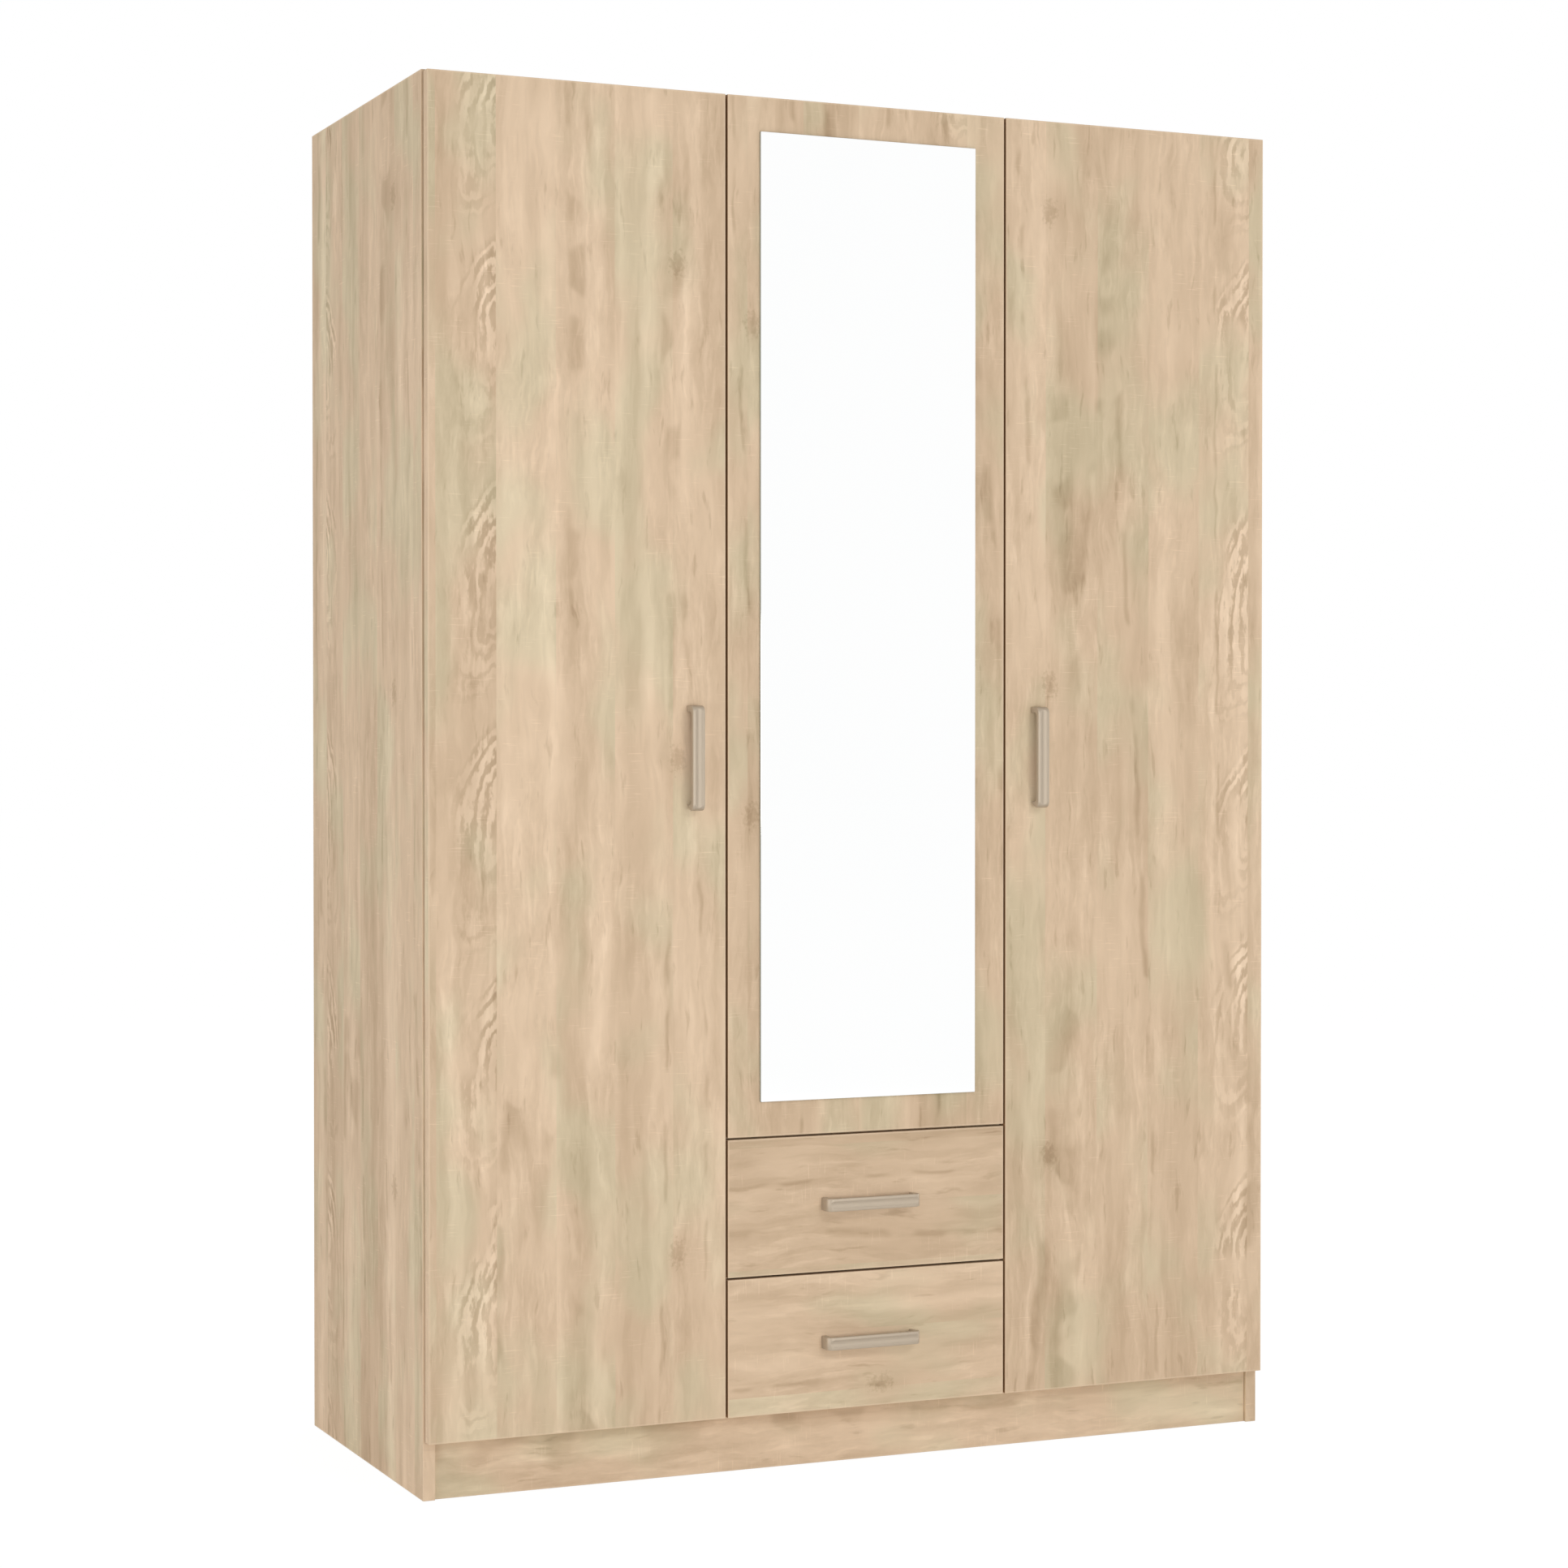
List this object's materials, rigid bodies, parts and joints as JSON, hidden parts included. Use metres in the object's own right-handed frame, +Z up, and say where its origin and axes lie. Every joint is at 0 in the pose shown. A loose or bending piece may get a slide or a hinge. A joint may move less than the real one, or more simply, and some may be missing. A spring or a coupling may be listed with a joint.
{
  "type": "wardrobe",
  "caption": "Free-standing oak-finish wardrobe: plain doors either side of a mirror door, drawers below the mirror, shelves and hanging rails inside.",
  "frame": {"origin": "on the floor at the centre of the overall box, handles included", "axes": "+Z up, -Y out of the front (doors and drawers), +X to the right of someone facing the front"},
  "size_m": [1.222, 0.5478, 1.8],
  "materials": {
    "oak_board_upright": "sonoma-oak melamine chipboard, satin, grain upright",
    "oak_board_level": "sonoma-oak melamine chipboard, satin, grain level",
    "printed_hardboard": "thin hardboard printed to match, matt",
    "mirror_silver": "polished",
    "handle_satin": "satin",
    "hinge_nickel": "nickel plated",
    "rail_chrome": "bright",
    "runner_plastic": "moulded, matt"
  },
  "bodies": {
    "carcass": {"side_panel_left": "oak_board_upright", "side_panel_right": "oak_board_upright", "top_panel": "oak_board_level", "bottom_panel": "oak_board_level", "partition_left": "oak_board_upright", "partition_right": "oak_board_upright", "plinth_front": "oak_board_level", "plinth_back": "oak_board_level", "back_panel": "printed_hardboard", "shelf_over_drawers": "oak_board_level", "middle_shelf_lower": "oak_board_level", "middle_shelf_upper": "oak_board_level", "hat_shelf_left": "oak_board_level", "hat_shelf_right": "oak_board_level", "hanging_rail_left": "rail_chrome", "hanging_rail_right": "rail_chrome", "rail_socket_left_at_left": "hinge_nickel", "rail_socket_left_at_right": "hinge_nickel", "rail_socket_right_at_left": "hinge_nickel", "rail_socket_right_at_right": "hinge_nickel", "drawer_runner_lower_left": "runner_plastic", "drawer_runner_lower_right": "runner_plastic", "drawer_runner_upper_left": "runner_plastic", "drawer_runner_upper_right": "runner_plastic", "hinge_arm_left_bottom": "hinge_nickel", "hinge_arm_left_middle": "hinge_nickel", "hinge_arm_left_top": "hinge_nickel", "hinge_arm_mirror_bottom": "hinge_nickel", "hinge_arm_mirror_middle": "hinge_nickel", "hinge_arm_mirror_top": "hinge_nickel", "hinge_arm_right_bottom": "hinge_nickel", "hinge_arm_right_middle": "hinge_nickel", "hinge_arm_right_top": "hinge_nickel"},
    "left_door": {"door_left": "oak_board_upright", "handle_door_left": "handle_satin", "hinge_cup_left_bottom": "hinge_nickel", "hinge_cup_left_middle": "hinge_nickel", "hinge_cup_left_top": "hinge_nickel"},
    "middle_door": {"mirror_door": "oak_board_upright", "mirror": "mirror_silver", "hinge_cup_mirror_bottom": "hinge_nickel", "hinge_cup_mirror_middle": "hinge_nickel", "hinge_cup_mirror_top": "hinge_nickel"},
    "right_door": {"door_right": "oak_board_upright", "handle_door_right": "handle_satin", "hinge_cup_right_bottom": "hinge_nickel", "hinge_cup_right_middle": "hinge_nickel", "hinge_cup_right_top": "hinge_nickel"},
    "lower_drawer": {"drawer_lower_front": "oak_board_level", "drawer_lower_side_left": "oak_board_level", "drawer_lower_side_right": "oak_board_level", "drawer_lower_back": "oak_board_level", "drawer_lower_bottom": "printed_hardboard", "handle_drawer_lower": "handle_satin"},
    "upper_drawer": {"drawer_upper_front": "oak_board_level", "drawer_upper_side_left": "oak_board_level", "drawer_upper_side_right": "oak_board_level", "drawer_upper_back": "oak_board_level", "drawer_upper_bottom": "printed_hardboard", "handle_drawer_upper": "handle_satin"}
  },
  "joints": [
    {"name": "left_door_hinge", "type": "hinge", "parent": "carcass", "child": "left_door", "pos_m": [-0.6085, -0.2509, 0.936], "axis": [0, 0, -1], "range_deg": [0, 110]},
    {"name": "middle_door_hinge", "type": "hinge", "parent": "carcass", "child": "middle_door", "pos_m": [0.20183, -0.2509, 1.119], "axis": [0, 0, 1], "range_deg": [0, 110]},
    {"name": "right_door_hinge", "type": "hinge", "parent": "carcass", "child": "right_door", "pos_m": [0.6085, -0.2509, 0.936], "axis": [0, 0, 1], "range_deg": [0, 110]},
    {"name": "lower_drawer_slide", "type": "slide", "parent": "carcass", "child": "lower_drawer", "axis": [0, -1, 0], "range_m": [0, 0.32]},
    {"name": "upper_drawer_slide", "type": "slide", "parent": "carcass", "child": "upper_drawer", "axis": [0, -1, 0], "range_m": [0, 0.32]}
  ]
}
